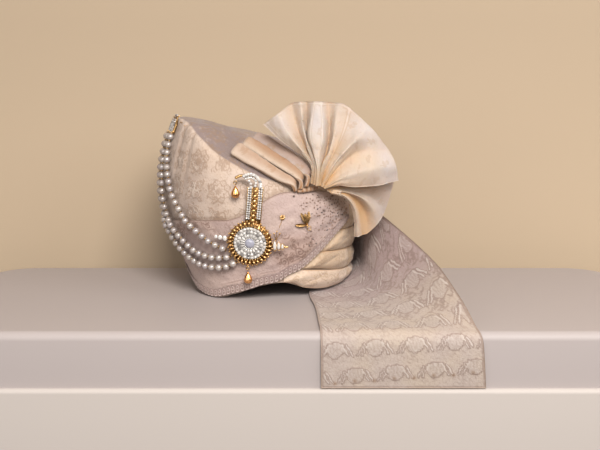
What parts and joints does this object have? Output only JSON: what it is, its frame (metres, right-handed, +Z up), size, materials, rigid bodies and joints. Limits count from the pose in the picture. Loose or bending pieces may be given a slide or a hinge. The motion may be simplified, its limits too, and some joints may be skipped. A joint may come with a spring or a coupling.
{
  "type": "tied turban",
  "caption": "Ready-tied ceremonial turban: hollow brocade crown with a raised peak, pleated cloth fan, long cloth tail, pearl strings and a jewelled brooch.",
  "frame": {"origin": "centre of the head opening, level with the lowest part of the rim, where the head's crown line sits", "axes": "+Z up out of the crown, -Y towards the forehead side, +X towards the side where the tail leaves; the high peak is at -X"},
  "size_m": [0.36, 0.3908, 0.2796],
  "materials": {
    "crown_brocade": "cream jacquard with raised tone-on-tone scrolls",
    "band_cloth": "pale pink-grey embroidered cloth",
    "lace": "scalloped lace edging",
    "wrap_cloth": "soft cream silk with raised pattern",
    "fan_cloth": "starched cream silk",
    "tail_brocade": "mauve-cream brocade with a fan lattice",
    "pearl": "pearl lustre",
    "gold": "polished antique gold plate",
    "drop_gold": "satin orange gold",
    "crystal": "cut crystal, foiled",
    "grey_stone": "bluish-grey polished stone"
  },
  "bodies": {
    "root": {"crown": "crown_brocade", "front_band": "band_cloth", "band_border": "lace", "side_wrap_0": "wrap_cloth", "side_wrap_1": "wrap_cloth", "side_wrap_2": "wrap_cloth", "side_wrap_3": "wrap_cloth", "rear_wrap": "crown_brocade", "fan": "fan_cloth", "fan_lobe": "fan_cloth", "side_pleat_1": "fan_cloth", "side_pleat_2": "fan_cloth", "side_pleat_3": "fan_cloth", "tail": "tail_brocade", "pearl_strand_inner": "pearl", "pearl_strand_middle": "pearl", "pearl_strand_outer": "pearl", "peak_clip": "gold", "brooch_base": "gold", "rosette_crystals": "crystal", "centre_stone": "grey_stone", "stem_crystals_left": "crystal", "stem_crystals_right": "crystal", "wing_stone_1": "crystal", "wing_stone_2": "crystal", "wing_stone_3": "crystal", "left_stone_1": "crystal", "left_stone_2": "crystal", "left_stone_3": "crystal", "drop_link_upper": "gold", "drop_upper": "drop_gold", "drop_link_lower": "gold", "drop_lower": "drop_gold", "leaf_motif": "gold", "flower_stud": "gold", "knot_gather": "fan_cloth"}
  },
  "joints": []
}
